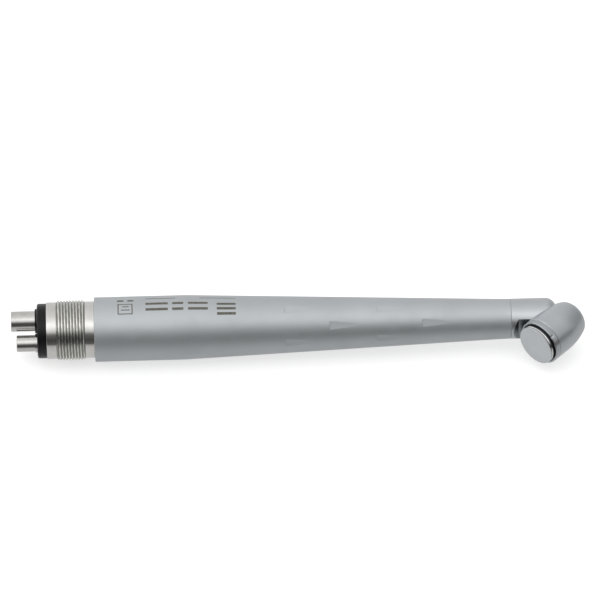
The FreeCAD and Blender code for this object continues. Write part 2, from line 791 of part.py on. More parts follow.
under_face = d.button_face + d.button_disc
groove_rear = web_front + d.clip_play
groove_front = groove_rear + d.clip_thickness
turned("push_button", HEAD, [
    (d.button_face, 0.0),
    (d.button_face, d.button_radius - d.button_edge),
    (d.button_face + d.button_edge, d.button_radius),
    (d.button_skirt_end, d.button_radius),
    (d.button_skirt_end, d.button_skirt_bore),
    (under_face, d.button_skirt_bore),
    (under_face, d.stem_radius),
    (groove_rear - d.fit_gap, d.stem_radius),
    (groove_rear - d.fit_gap, d.clip_inner - d.fit_gap),
    (groove_front + d.fit_gap, d.clip_inner - d.fit_gap),
    (groove_front + d.fit_gap, d.stem_radius),
    (d.stem_end, d.stem_radius),
    (d.stem_end, 0.0)])
clip = turned("button_clip", HEAD, [
    (groove_rear, d.clip_inner),
    (groove_rear, d.clip_outer),
    (groove_front, d.clip_outer),
    (groove_front, d.clip_inner)])
slot(clip, [
    (groove_rear - d.overcut, 0.0),
    (groove_front + d.overcut, 0.0),
    (groove_front + d.overcut, d.clip_outer + d.overcut),
    (groove_rear - d.overcut, d.clip_outer + d.overcut)], d.clip_mouth)
wire_stand = d.button_spring_wire + d.touch_gap
button_spring_span = d.cap_floor - under_face - wire_stand * 2
coil("button_spring", HEAD, under_face + wire_stand, d.button_spring_radius,
     d.button_spring_wire, button_spring_span, d.button_spring_turns)

# ---------------------------------------------------------------- turbine

turned("rotor_shaft", HEAD, [
    (d.shaft_rear, d.shaft_bore),
    (d.shaft_rear, d.shaft_radius),
    (d.shaft_front - d.collar_edge, d.shaft_radius),
    (d.shaft_front, d.shaft_radius - d.collar_edge),
    (d.shaft_front, d.nose_bore),
    (d.nose_bore_rear, d.nose_bore),
    (d.nose_bore_rear, d.shaft_bore)])
web_rear = d.impeller_rear + d.impeller_side_gap
web_ahead = d.impeller_front - d.impeller_side_gap
impeller = turned("impeller", HEAD, [
    (d.impeller_rear, d.shaft_radius + d.touch_gap),
    (d.impeller_rear, d.impeller_hub),
    (web_rear, d.impeller_hub),
    (web_rear, d.impeller_radius),
    (web_ahead, d.impeller_radius),
    (web_ahead, d.impeller_hub),
    (d.impeller_front, d.impeller_hub),
    (d.impeller_front, d.shaft_radius + d.touch_gap)])
bucket = drill(impeller, web_rear - d.bucket_overcut, web_ahead + d.bucket_overcut, [
    (0.0, d.bucket_place, d.bucket_radius)])
around(impeller, bucket, d.impeller_buckets)


def half_race(centre, land, side):
    """Corners of a race groove: a shallow trough that clears the balls."""
    floor = d.ball_circle + d.race_groove * side
    return [
        (centre - d.race_mouth, land),
        (centre - d.race_floor, floor),
        (centre + d.race_floor, floor),
        (centre + d.race_mouth, land)]


def along(centre, side, first, last):
    """Two distances either side of a centre, in rising order."""
    ends = [centre + first * side, centre + last * side]
    return ends if side > 0 else ends[::-1]


def bearing(name, centre, side):
    """Ball bearing: two rings, a cage and its balls, a shield on the outer side and an O-ring."""
    rear, front = along(centre, 1, -d.bearing_width / 2, d.bearing_width / 2)
    turned(name + "_outer_ring", HEAD, [
        (rear, d.bearing_outer),
        (front, d.bearing_outer),
        (front, d.outer_race_land)]
        + half_race(centre, d.outer_race_land, 1)[::-1]
        + [(rear, d.outer_race_land)])
    turned(name + "_inner_ring", HEAD, [
        (rear, d.bearing_bore),
        (rear, d.inner_race_land)]
        + half_race(centre, d.inner_race_land, -1)
        + [(front, d.inner_race_land), (front, d.bearing_bore)])
    shield_end = d.bearing_width / 2 - d.shield_gap
    shield_rear, shield_front = along(centre, side, shield_end - d.shield_thickness, shield_end)
    turned(name + "_shield", HEAD, [
        (shield_rear, d.shield_inner),
        (shield_rear, d.outer_race_land - d.touch_gap),
        (shield_front, d.outer_race_land - d.touch_gap),
        (shield_front, d.shield_inner)])
    cage_ends = along(centre, side, -d.cage_end, d.cage_length - d.cage_end)
    cage = turned(name + "_cage", HEAD, [
        (cage_ends[0], d.cage_inner),
        (cage_ends[0], d.cage_outer),
        (cage_ends[1], d.cage_outer),
        (cage_ends[1], d.cage_inner)])
    pocket = new_sketch(cage, "XY_Plane", HANDLE, d.cage_outer + d.overcut)
    circle(pocket, centre, 0.0, d.ball_radius + d.fit_gap)
    hole = cage.newObject("PartDesign::Pocket", name + "_ball_pocket")
    hole.Profile = pocket
    hole.Length = d.cage_pocket_depth.value
    hole.setExpression("Length", d.cage_pocket_depth.text)
    must_cut(cage, hole)
    around(cage, hole, d.ball_count)
    balls = []
    for index in range(int(d.ball_count.value)):
        angle = 2 * math.pi * index / d.ball_count.value
        across = VEC(centre.value, 0, d.ball_circle.value)
        ball = doc.addObject("Part::Sphere", name + "_ball")
        ball.setExpression("Radius", d.ball_radius.text)
        spin = FreeCAD.Rotation(X_AXIS, math.degrees(angle))
        ball.Placement = HEAD * FreeCAD.Placement(spin.multVec(across), spin)
        balls.append(ball)
    group = doc.addObject("Part::Compound", name + "_balls")
    group.Label = name + "_balls"
    group.Links = balls
    pieces.append(group)
    ring_of_rubber(name + "_o_ring", HEAD, centre, d.o_ring_circle, d.o_ring_section)


bearing("front_bearing", d.front_bearing_centre, 1)
bearing("rear_bearing", d.rear_bearing_centre, -1)

washer_front = d.seat_front - d.touch_gap
turned("preload_washer", HEAD, [
    (washer_front - d.washer_thickness, d.washer_inner),
    (washer_front - d.washer_thickness, d.bearing_outer),
    (washer_front, d.bearing_outer),
    (washer_front, d.washer_inner)])

# ---------------------------------------------------------------- chuck

collet = turned("collet", HEAD, [
    (d.collet_rear, d.bur_radius),
    (d.collet_rear, d.collet_outer),
    (d.collet_front, d.collet_outer),
    (d.collet_front, d.bur_radius)])
cut = slot(collet, [
    (d.collet_rear - d.overcut, 0.0),
    (d.collet_rear + d.collet_slot_length, 0.0),
    (d.collet_rear + d.collet_slot_length, d.collet_outer + d.overcut),
    (d.collet_rear - d.overcut, d.collet_outer + d.overcut)], d.collet_slot)
around(collet, cut, d.collet_slots)
turned("chuck_plunger", HEAD, [
    (d.plunger_rear, 0.0),
    (d.plunger_rear, d.plunger_radius - d.collar_edge),
    (d.plunger_rear + d.collar_edge, d.plunger_radius),
    (d.plunger_rear + d.plunger_head, d.plunger_radius),
    (d.plunger_rear + d.plunger_head, d.plunger_stem),
    (d.plunger_stem_end - d.plunger_point_length, d.plunger_stem),
    (d.plunger_stem_end, d.plunger_point),
    (d.plunger_stem_end, 0.0)])
wire_stand = d.chuck_spring_wire + d.touch_gap
spring_start = d.plunger_rear + d.plunger_head + wire_stand
spring_span = d.collet_rear - wire_stand - spring_start
coil("chuck_spring", HEAD, spring_start, d.chuck_spring_radius, d.chuck_spring_wire,
     spring_span, d.chuck_spring_turns)

# ---------------------------------------------------------------- checks and export

doc.recompute()
failed = [item.Label for item in doc.Objects if "Invalid" in item.State or "Error" in item.State]
if failed:
    raise RuntimeError("not recomputed: " + ", ".join(failed))
os.makedirs("parts", exist_ok=True)
for piece in pieces:
    if piece.Shape.isNull() or not piece.Shape.isValid():
        raise RuntimeError(piece.Label + " has no valid shape")
    piece.Shape.exportStep("parts/" + piece.Label + ".step")
    print("%-28s %2d solid(s) %10.3f mm3" % (piece.Label, len(piece.Shape.Solids), piece.Shape.Volume))
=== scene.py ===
"""Looks for the dental handpiece: its finishes, fine shapes, floor, light and camera.

Everything is in metres in the CAD model's frame: +X runs along the handle from the hose end to
the head, and +Z is up as the handpiece lies on its side. Sizes of pieces are written in
millimetres and multiplied by MM.
"""
import bpy
import math
from mathutils import Matrix, Vector


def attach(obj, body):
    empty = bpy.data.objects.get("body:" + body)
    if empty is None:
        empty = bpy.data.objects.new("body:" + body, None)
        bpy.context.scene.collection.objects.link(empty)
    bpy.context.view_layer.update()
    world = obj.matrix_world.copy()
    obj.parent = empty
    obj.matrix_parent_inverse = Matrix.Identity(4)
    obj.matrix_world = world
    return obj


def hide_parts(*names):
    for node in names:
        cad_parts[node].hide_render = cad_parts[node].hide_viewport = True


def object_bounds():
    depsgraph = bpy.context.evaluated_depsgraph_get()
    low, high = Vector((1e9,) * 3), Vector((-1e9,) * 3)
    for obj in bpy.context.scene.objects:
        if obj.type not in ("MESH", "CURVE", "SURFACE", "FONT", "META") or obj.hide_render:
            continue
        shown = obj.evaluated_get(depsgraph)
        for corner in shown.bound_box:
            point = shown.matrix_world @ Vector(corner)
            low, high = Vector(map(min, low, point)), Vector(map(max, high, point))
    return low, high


MM = 0.001
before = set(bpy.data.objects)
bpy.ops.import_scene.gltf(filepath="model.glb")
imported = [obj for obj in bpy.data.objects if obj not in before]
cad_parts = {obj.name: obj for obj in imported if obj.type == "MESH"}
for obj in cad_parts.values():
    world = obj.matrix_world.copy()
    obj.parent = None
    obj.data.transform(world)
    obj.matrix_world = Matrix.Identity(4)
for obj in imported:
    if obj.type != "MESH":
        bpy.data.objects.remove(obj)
cad_low, cad_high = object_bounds()
HANDLE_FRAME = Matrix.Identity(4)
HEAD_CENTRE = Vector((125.06 * MM, 0, 0))
HEAD_FRAME = Matrix.Translation(HEAD_CENTRE) @ Matrix.Rotation(math.radians(45), 4, "Z")
AT_HEAD = (math.radians(45), HEAD_CENTRE)  # the turn and the origin of the head's own axis


# ---------------------------------------------------------------- camera

VIEW_AZIMUTH = math.radians(-2.12)
VIEW_ELEVATION = math.radians(45.0)
VIEW_DISTANCE = 1.168
VIEW_WIDTH = 0.1402  # what the picture spans at that distance
AIM_RIGHT = 0.06136  # the picture's middle, from the CAD origin
AIM_UP = 0.00727
SENSOR_WIDTH = 36.0  # in millimetres, as the lens is


def make_camera():
    """Long lens camera above the front side, framed so that the hose end is near the left edge."""
    right = Vector((math.cos(VIEW_AZIMUTH), math.sin(VIEW_AZIMUTH), 0))
    back = Vector((
        math.sin(VIEW_AZIMUTH) * math.cos(VIEW_ELEVATION),
        -math.cos(VIEW_AZIMUTH) * math.cos(VIEW_ELEVATION),
        math.sin(VIEW_ELEVATION)))
    up = back.cross(right)
    aim = right * AIM_RIGHT + up * AIM_UP
    data = bpy.data.cameras.new("camera")
    data.sensor_width = SENSOR_WIDTH
    data.lens = SENSOR_WIDTH * VIEW_DISTANCE / VIEW_WIDTH
    data.clip_start = 0.01
    data.clip_end = 20.0
    camera = bpy.data.objects.new("camera", data)
    camera.matrix_world = Matrix((
        (right.x, up.x, back.x, aim.x + back.x * VIEW_DISTANCE),
        (right.y, up.y, back.y, aim.y + back.y * VIEW_DISTANCE),
        (right.z, up.z, back.z, aim.z + back.z * VIEW_DISTANCE),
        (0, 0, 0, 1)))
    bpy.context.scene.collection.objects.link(camera)
    bpy.context.scene.camera = camera


make_camera()


# ---------------------------------------------------------------- material tools

CLOUD_SCALE = 110.0  # noise scales are in waves per metre
SHEEN_SCALE = 300.0
GRAIN_SCALE = 9000.0
GRAIN_DEPTH = 0.000003


class Tree:
    """Short calls for adding and joining nodes."""

    def __init__(self, owner):
        owner.use_nodes = True
        self.tree = owner.node_tree

    def add(self, kind, **settings):
        node = self.tree.nodes.new(kind)
        for name, value in settings.items():
            setattr(node, name, value)
        return node

    def plug(self, source, target):
        self.tree.links.new(source, target)


class Nodes(Tree):
    """Short calls for making a material's node tree."""

    def __init__(self, name, metallic=0.0):
        self.material = bpy.data.materials.new(name)
        super().__init__(self.material)
        self.shader = self.tree.nodes["Principled BSDF"]
        self.put("Metallic", metallic)

    def put(self, name, value):
        """Set one of the shader's sockets to a plain value, or link it to another node's output."""
        socket = self.shader.inputs[name]
        if isinstance(value, bpy.types.NodeSocket):
            self.plug(value, socket)
        else:
            socket.default_value = value

    def place(self, turn=0.0, origin=(0, 0, 0), stretch=(1, 1, 1)):
        """Position in the model's frame, moved to an origin, turned about Z and then stretched."""
        moved = self.add("ShaderNodeVectorMath", operation="SUBTRACT")
        moved.inputs[1].default_value = origin
        self.plug(self.add("ShaderNodeTexCoord").outputs["Object"], moved.inputs[0])
        turned = self.add("ShaderNodeMapping")
        turned.inputs["Rotation"].default_value = (0, 0, -turn)
        self.plug(moved.outputs[0], turned.inputs["Vector"])
        scaled = self.add("ShaderNodeVectorMath", operation="MULTIPLY")
        scaled.inputs[1].default_value = stretch
        self.plug(turned.outputs[0], scaled.inputs[0])
        return scaled.outputs[0]

    def noise(self, scale, detail=2.0, vector=None):
        node = self.add("ShaderNodeTexNoise")
        node.inputs["Scale"].default_value = scale
        node.inputs["Detail"].default_value = detail
        self.plug(vector or self.place(), node.inputs["Vector"])
        return node.outputs["Fac"]

    def off_axis(self, turn=0.0, origin=(0, 0, 0)):
        """Distance from the X axis, moved to an origin and turned about Z."""
        length = self.add("ShaderNodeVectorMath", operation="LENGTH")
        self.plug(self.place(turn, origin, (0, 1, 1)), length.inputs[0])
        return length.outputs["Value"]

    def rings(self, scale, turn=0.0, origin=(0, 0, 0)):
        """Noise that only changes with the distance from the X axis: rings on a faced end."""
        node = self.add("ShaderNodeTexNoise", noise_dimensions="1D")
        node.inputs["Scale"].default_value = scale
        node.inputs["Detail"].default_value = 3.0
        self.plug(self.off_axis(turn, origin), node.inputs["W"])
        return node.outputs["Fac"]

    def spread(self, source, low, high, from_low=0.3, from_high=0.7):
        """Map a noise onto a range of values."""
        node = self.add("ShaderNodeMapRange")
        node.inputs["From Min"].default_value = from_low
        node.inputs["From Max"].default_value = from_high
        node.inputs["To Min"].default_value = low
        node.inputs["To Max"].default_value = high
        self.plug(source, node.inputs["Value"])
        return node.outputs["Result"]

    def tint(self, source, dark, light):
        """Blend two colours by a value from 0 to 1."""
        node = self.add("ShaderNodeMix", data_type="RGBA")
        node.inputs[6].default_value = (*dark, 1)
        node.inputs[7].default_value = (*light, 1)
        self.plug(source, node.inputs[0])
        return node.outputs[2]

    def mottle(self, scale, dark, light):
        """Cloudy blend of two colours that reaches both of them."""
        return self.tint(self.spread(self.noise(scale, 3.0), 0.0, 1.0), dark, light)

    def product(self, first, second):
        node = self.add("ShaderNodeMath", operation="MULTIPLY")
        self.plug(first, node.inputs[0])
        self.plug(second, node.inputs[1])
        return node.outputs[0]

    def bump(self, source, distance):
        node = self.add("ShaderNodeBump")
        node.inputs["Distance"].default_value = distance
        self.plug(source, node.inputs["Height"])
        return node.outputs["Normal"]


def satin_metal(name, dark, light, rough, grain_depth=GRAIN_DEPTH):
    """Blasted metal: a soft sheen, a fine even grain and faint cloudy variation."""
    n = Nodes(name, 1.0)
    n.put("Base Color", n.mottle(CLOUD_SCALE, dark, light))
    n.put("Roughness", n.spread(n.noise(SHEEN_SCALE), *rough))
    n.put("Normal", n.bump(n.noise(GRAIN_SCALE), grain_depth))
    return n.material


def turned_metal(name, dark, light, rough, turn=0.0, origin=(0, 0, 0), depth=0.0000012):
    """Turned metal: fine tool marks around the piece's own axis under a polish."""
    n = Nodes(name, 1.0)
    marks = n.noise(1.0, 3.0, n.place(turn, origin, (GRAIN_SCALE, SHEEN_SCALE, SHEEN_SCALE)))
    n.put("Base Color", n.mottle(500.0, dark, light))
    n.put("Roughness", n.spread(marks, *rough))
    n.put("Normal", n.bump(marks, depth))
    return n.material


def faced_metal(name, dark, light, rough, turn, origin, depth=0.000002):
    """End face with fine concentric tool marks."""
    n = Nodes(name, 1.0)
    marks = n.rings(4200.0, turn, origin)
    n.put("Base Color", n.mottle(200.0, dark, light))
    n.put("Roughness", n.spread(n.noise(400.0), *rough))
    n.put("Normal", n.bump(marks, depth))
    return n.material


def threaded_metal(name, root, crest, rough, floor, top):
    """Machined thread with painted light and shade: bright on its crests and darker in its root, by
    distance from the axis.
    """
    n = Nodes(name, 1.0)
    # Painted shade in the root and painted highlight on the crests: the colour follows the distance
    # from the axis, with a little random wear.
    height = n.spread(n.off_axis(), 0.0, 1.0, floor, top)
    wear = n.spread(n.noise(700.0, 3.0), 0.0, 0.25)
    shade_and_wear = n.add("ShaderNodeMath", operation="SUBTRACT", use_clamp=True)
    n.plug(height, shade_and_wear.inputs[0])
    n.plug(wear, shade_and_wear.inputs[1])
    n.put("Base Color", n.tint(shade_and_wear.outputs[0], root, crest))
    n.put("Roughness", n.spread(n.noise(900.0), *rough))
    n.put("Normal", n.bump(n.noise(5000.0), 0.000001))
    return n.material


def rubber(name, dark, light, rough):
    """Moulded rubber with a slightly uneven skin."""
    n = Nodes(name)
    n.put("Base Color", n.tint(n.noise(400.0, 3.0), dark, light))
    n.put("Roughness", n.spread(n.noise(900.0), *rough))
    n.put("Specular IOR Level", 0.25)
    n.put("Normal", n.bump(n.noise(3000.0), 0.000006))
    return n.material


def etched(name):
    """Laser darkened metal, matt and slightly mottled."""
    n = Nodes(name, 0.35)
    n.put("Base Color", n.mottle(1500.0, (0.085, 0.082, 0.066), (0.135, 0.13, 0.108)))
    n.put("Roughness", n.spread(n.noise(2500.0), 0.5, 0.7))
    return n.material


def head_casting(name):
    """The head's blasted metal, with painted shade that darkens the relief cut under the push
    button.
    """
    n = Nodes(name, 1.0)
    split = n.add("ShaderNodeSeparateXYZ")
    n.plug(n.place(), split.inputs[0])
    front = n.spread(split.outputs["Y"], 1.0, 0.0, -3.43 * MM, -3.41 * MM)
    below_neck = n.spread(n.off_axis(), 1.0, 0.0, 4.60 * MM, 4.66 * MM)
    beside_barrel = n.spread(n.off_axis(*AT_HEAD), 0.0, 1.0, 5.51 * MM, 5.54 * MM)
    # Painted shade: inside the relief under the push button the colour is darkened to about half,
    # standing in for the shade that falls there.
    painted_relief_shade = n.product(n.product(front, below_neck), beside_barrel)
    mixed = n.add("ShaderNodeMix", data_type="RGBA", blend_type="MULTIPLY")
    mixed.inputs[0].default_value = 1.0
    n.plug(n.mottle(CLOUD_SCALE, (0.485, 0.508, 0.525), (0.525, 0.548, 0.565)), mixed.inputs[6])
    n.plug(n.tint(painted_relief_shade, (1, 1, 1), (0.50, 0.515, 0.53)), mixed.inputs[7])
    n.put("Base Color", mixed.outputs[2])
    n.put("Roughness", n.spread(n.noise(SHEEN_SCALE), 0.33, 0.39))
    n.put("Normal", n.bump(n.noise(GRAIN_SCALE), GRAIN_DEPTH))
    return n.material


def coat(node, material):
    """Give a CAD node one material in every slot."""
    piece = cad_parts[node]
    if not piece.material_slots:
        piece.data.materials.append(material)
    for place in piece.material_slots:
        place.material = material


handle_metal = satin_metal("handle_satin", (0.51, 0.535, 0.55), (0.54, 0.565, 0.58), (0.53, 0.58))
head_metal = head_casting("head_satin")
cap_metal = turned_metal(
    "cap_band", (0.41, 0.43, 0.445), (0.45, 0.47, 0.485), (0.24, 0.32), *AT_HEAD)
rim_metal = turned_metal(
    "polished_rim", (0.70, 0.70, 0.70), (0.78, 0.78, 0.78), (0.08, 0.14), *AT_HEAD)
face_metal = faced_metal(
    "button_face", (0.54, 0.565, 0.58), (0.59, 0.615, 0.63), (0.30, 0.36), *AT_HEAD)
# The root colour is painted shade and the crest colour a painted highlight.
thread_metal = threaded_metal(
    "thread_steel", (0.40, 0.40, 0.375), (0.76, 0.755, 0.725), (0.17, 0.25), 6.68 * MM, 7.0 * MM)
polished = turned_metal(
    "coupling_steel", (0.62, 0.61, 0.59), (0.70, 0.69, 0.67), (0.07, 0.13))
tube_metal = turned_metal(
    "tube_steel", (0.545, 0.535, 0.52), (0.615, 0.605, 0.59), (0.06, 0.11), depth=0.0000005)
bright = satin_metal(
    "inner_steel", (0.60, 0.60, 0.60), (0.68, 0.68, 0.68), (0.18, 0.26), 0.000001)
resin = rubber("cage_resin", (0.20, 0.10, 0.04), (0.30, 0.16, 0.07), (0.35, 0.5))
gasket_rubber = rubber(
    "gasket_rubber", (0.002, 0.002, 0.002), (0.006, 0.006, 0.0065), (0.26, 0.36))
seal_rubber = rubber("seal_rubber", (0.008, 0.008, 0.008), (0.02, 0.02, 0.02), (0.25, 0.35))
mark_metal = etched("laser_mark")
# Painted shade: near black steel on the cap's floor and bores and on the button's sides inside the
# gap, where shade falls between the parts.
gap_shade_metal = turned_metal(
    "painted_gap_shade", (0.05, 0.055, 0.06), (0.08, 0.085, 0.09), (0.35, 0.45), *AT_HEAD)

# Nodes that aren't listed here are plain steel.
COATS = {
    "front_bearing_cage": resin,
    "rear_bearing_cage": resin,
    "coupling_o_ring": seal_rubber,
    "front_bearing_o_ring": seal_rubber,
    "rear_bearing_o_ring": seal_rubber,
    "exhaust_tube": tube_metal,
    "drive_air_tube": tube_metal,
    "water_tube": tube_metal,
    "chip_air_tube": tube_metal,
    "water_nozzle": tube_metal,
    "chip_air_nozzle": tube_metal,
    "coupling_gasket": gasket_rubber,
    "head_housing": head_metal}
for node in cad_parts:
    coat(node, COATS.get(node, bright))


# ---------------------------------------------------------------- turned shapes

SHARP_EDGE = math.radians(40)


def ring_point(along, radius, angle):
    """Point at a distance from the X axis, at an angle from +Y towards +Z, in metres."""
    return along * MM, radius * math.cos(angle) * MM, radius * math.sin(angle) * MM


def rounded(corners, steps=5):
    """Half section with its corners rounded. A corner is (along, radius, fillet, material)."""
    points = []
    count = len(corners)
    for index, (along, radius, fillet, material) in enumerate(corners):
        corner = Vector((along, radius))
        back = Vector(corners[index - 1][:2]) - corner
        ahead = Vector(corners[(index + 1) % count][:2]) - corner
        if fillet == 0:
            points.append((along, radius, material))
            continue
        opening = back.angle(ahead)
        reach = fillet / math.tan(opening / 2)
        start = corner + back.normalized() * reach
        end = corner + ahead.normalized() * reach
        for step in range(steps + 1):
            part = step / steps
            bent = start.lerp(corner, part).lerp(corner.lerp(end, part), part)
            points.append((bent.x, bent.y, material))
    return points


def lathe(name, section, placement, materials, segments=192, shape=None):
    """Closed mesh from a closed half section, turned about the placement's X axis.

    Each point is (along, radius, material), and its material covers the band that starts there.
    The shape, where there is one, gives the radius again from (along, radius, angle).
    """
    vertices, faces, slots = [], [], []
    for along, radius, _ in section:
        for number in range(segments):
            angle = 2 * math.pi * number / segments
            reach = shape(along, radius, angle) if shape else radius
            vertices.append(ring_point(along, reach, angle))
    count = len(section)
    for ring in range(count):
        after = (ring + 1) % count
        for number in range(segments):
            beside = (number + 1) % segments
            faces.append((
                ring * segments + number,
                ring * segments + beside,
                after * segments + beside,
                after * segments + number))
            slots.append(section[ring][2])
    mesh = bpy.data.meshes.new(name)
    mesh.from_pydata(vertices, [], faces)
    mesh.transform(placement)
    mesh.polygons.foreach_set("material_index", slots)
    mesh.polygons.foreach_set("use_smooth", [True] * len(faces))
    mesh.set_sharp_from_angle(angle=SHARP_EDGE)
    mesh.update()
    for material in materials:
        mesh.materials.append(material)
    piece = bpy.data.objects.new(name, mesh)
    bpy.context.scene.collection.objects.link(piece)
    return piece


def adopt(piece, body, node):
    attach(piece, body)
    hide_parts(node)


# ---------------------------------------------------------------- hose coupling

THREAD_PITCH = 0.70
THREAD_RADIUS = 7.02
THREAD_ROOT = 6.66
THREAD_DEPTH = 0.36
THREAD_START = 4.62
THREAD_END = 11.06
THREAD_LEAD = 0.05  # the crest rises at 45 degrees from this height above the root
THREAD_STEP = 0.04
GROOVE_FLOOR = 0.04  # half of the thread groove's floor
GROOVE_SIDE = 0.22  # the length along the axis of one of its sides
COUPLING_REAR = 2.20
COLLAR_RADIUS = 6.65
RELIEF_RADIUS = 6.48
SPIGOT_RADIUS = 6.20
SPIGOT_END = 22.00
COUPLING_BORE = 5.60


def with_thread(along, radius, angle):
    """Cut a right handed thread: a groove with sloping sides and a narrow floor."""
    if not THREAD_START < along < THREAD_END or radius <= RELIEF_RADIUS:
        return radius
    turn = (along / THREAD_PITCH - angle / (2 * math.pi)) % 1.0
    from_floor = abs(turn - 0.5) * THREAD_PITCH
    height = min(max((from_floor - GROOVE_FLOOR) / GROOVE_SIDE, 0.0), 1.0)
    return min(radius, THREAD_RADIUS - THREAD_DEPTH * (1 - height))


def coupling_section():
    """Half section of the coupling: two collars with the hose thread between them."""
    steps = round((THREAD_END - THREAD_START) / THREAD_STEP)
    thread = []
    for step in range(steps + 1):
        along = THREAD_START + (THREAD_END - THREAD_START) * step / steps
        from_end = min(along - THREAD_START, THREAD_END - along)
        thread.append((along, min(THREAD_RADIUS, THREAD_ROOT + THREAD_LEAD + from_end), 0, 1))
    return rounded([
        (COUPLING_REAR, COUPLING_BORE, 0, 0),
        (COUPLING_REAR, COLLAR_RADIUS, 0.14, 0),
        (4.50, COLLAR_RADIUS, 0.10, 0),
        (4.57, RELIEF_RADIUS, 0, 1)]
        + thread
        + [(11.12, RELIEF_RADIUS, 0, 0),
           (11.20, COLLAR_RADIUS, 0.08, 0),
           (13.36, COLLAR_RADIUS, 0.08, 0),
           (13.36, SPIGOT_RADIUS, 0, 0),
           (SPIGOT_END, SPIGOT_RADIUS, 0, 0),
           (SPIGOT_END, COUPLING_BORE, 0, 0)])


coupling = lathe(
    "coupling_collars", coupling_section(), HANDLE_FRAME, [polished, thread_metal], 256, with_thread)
adopt(coupling, "handpiece", "coupling_body")


# ---------------------------------------------------------------- handle shell

SHELL_RADIUS = 7.55
TAPER_START = 34.70
TAPER_END = 107.00
TAPER_END_RADIUS = 4.76
SHELL_FRONT = 110.70
SHELL_FRONT_RADIUS = 4.66
SHELL_REAR = 13.38
SOCKET_RADIUS = 6.22
SOCKET_END = 22.0
SHELL_BORE = 6.80
SHELL_BORE_FRONT = 3.90
SHELL_WALL = 0.3  # no wall of the shell is thinner, so what lies deeper is its inside
FLAT_DEPTH = 0.085
FLAT_LENGTH = 6.2
FLAT_ROWS = 5
FLAT_STEP = 0.17
FLAT_SETS = (  # where each set's blunt end is, and the angle of one of its flats
    (57.70, math.radians(103.0)),
    (79.30, math.radians(103.0)),
    (68.20, math.radians(139.0)),
    (89.80, math.radians(139.0)))


def shell_radius(along):
    """Outside radius of the handle shell without its grip flats."""
    if along <= TAPER_START:
        return SHELL_RADIUS
    if along <= TAPER_END:
        part = (along - TAPER_START) / (TAPER_END - TAPER_START)
        return SHELL_RADIUS + (TAPER_END_RADIUS - SHELL_RADIUS) * part
    part = (along - TAPER_END) / (SHELL_FRONT - TAPER_END)
    return TAPER_END_RADIUS + (SHELL_FRONT_RADIUS - TAPER_END_RADIUS) * part


def with_flats(along, radius, angle):
    """Cut the grip flats: each is a plane that starts deep at its blunt end and runs out."""
    if radius < shell_radius(along) - SHELL_WALL:
        return radius
    pitch = 2 * math.pi / FLAT_ROWS
    for blunt, turn in FLAT_SETS:
        if not blunt < along < blunt + FLAT_LENGTH:
            continue
        offset = (angle - turn + pitch / 2) % pitch - pitch / 2
        part = (along - blunt) / FLAT_LENGTH
        deep = shell_radius(blunt) - FLAT_DEPTH
        level = deep * (1 - part) + shell_radius(blunt + FLAT_LENGTH) * part
        radius = min(radius, level / math.cos(offset))
    return radius


def shell_section():
    """Half section of the shell, with close rings where the flats are."""
    stations = [13.80, 16.0, 20.0, 24.0, 28.0, 31.0, 33.0]
    stations += [TAPER_START + step for step in (-0.6, -0.2, 0.2, 0.6)]
    stations += [37.0 + 3.0 * step for step in range(7)]
    for blunt, _ in FLAT_SETS:
        stations += [blunt - 1.0, blunt - 0.15, blunt - 0.02, blunt + 0.03]
        stations += [blunt + 0.03 + FLAT_STEP * step for step in range(1, 37)]
        stations += [blunt + FLAT_LENGTH + 0.02, blunt + FLAT_LENGTH + 0.8]
    stations += [99.0, 102.0, 105.0, 106.6, 107.4, 109.0, 110.45]
    outside = [(along, shell_radius(along), 0, 0) for along in sorted(stations)]
    return rounded([
        (SHELL_REAR, SOCKET_RADIUS, 0, 0),
        (SHELL_REAR, SHELL_RADIUS, 0.14, 0)]
        + outside
        + [(SHELL_FRONT, SHELL_FRONT_RADIUS, 0.10, 0),
           (SHELL_FRONT, SHELL_BORE_FRONT, 0, 0),
           (103.0, SHELL_BORE_FRONT, 0, 0),
           (TAPER_START, SHELL_BORE, 0, 0),
           (SOCKET_END + 1.0, SHELL_BORE, 0, 0),
           (SOCKET_END, SOCKET_RADIUS, 0, 0)])


shell = lathe("handle_shell_satin", shell_section(), HANDLE_FRAME, [handle_metal], 432, with_flats)
adopt(shell, "handpiece", "handle_shell")

MARK_LEVELS = (0.004, -0.03)  # a mark's outer and inner face, from the shell's surface
MARK_COLUMN = 0.5
MARK_ROW = 2.0
# Laser marks: plain bars and one plain frame, as (first, last) along and (first, last) angle in
# degrees from +Y towards +Z.
MARKS = {
    "mark_word": [
        ((25.4, 30.6), (83.0, 88.5)),
        ((25.4, 30.6), (96.5, 102.0)),
        ((31.6, 34.2), (83.0, 88.5)),
        ((31.6, 34.2), (96.5, 102.0)),
        ((35.3, 39.9), (83.0, 88.5)),
        ((35.3, 39.9), (96.5, 102.0))],
    "mark_block": [
        ((42.0, 46.4), (85.5, 91.0)),
        ((42.0, 46.4), (96.5, 102.0)),
        ((42.0, 46.4), (107.5, 113.0))],
    "mark_frame": [
        ((18.9, 19.15), (85.0, 108.5)),
        ((22.15, 22.4), (85.0, 108.5)),
        ((19.15, 22.15), (85.0, 86.9)),
        ((19.15, 22.15), (106.6, 108.5)),
        ((20.0, 21.5), (91.0, 93.0)),
        ((19.7, 21.7), (98.5, 100.5))],
    "mark_top": [
        ((18.8, 20.3), (73.0, 78.0)),
        ((21.2, 22.6), (73.0, 78.0)),
        ((25.4, 32.4), (68.5, 70.5)),
        ((38.0, 46.4), (68.5, 70.5))]}


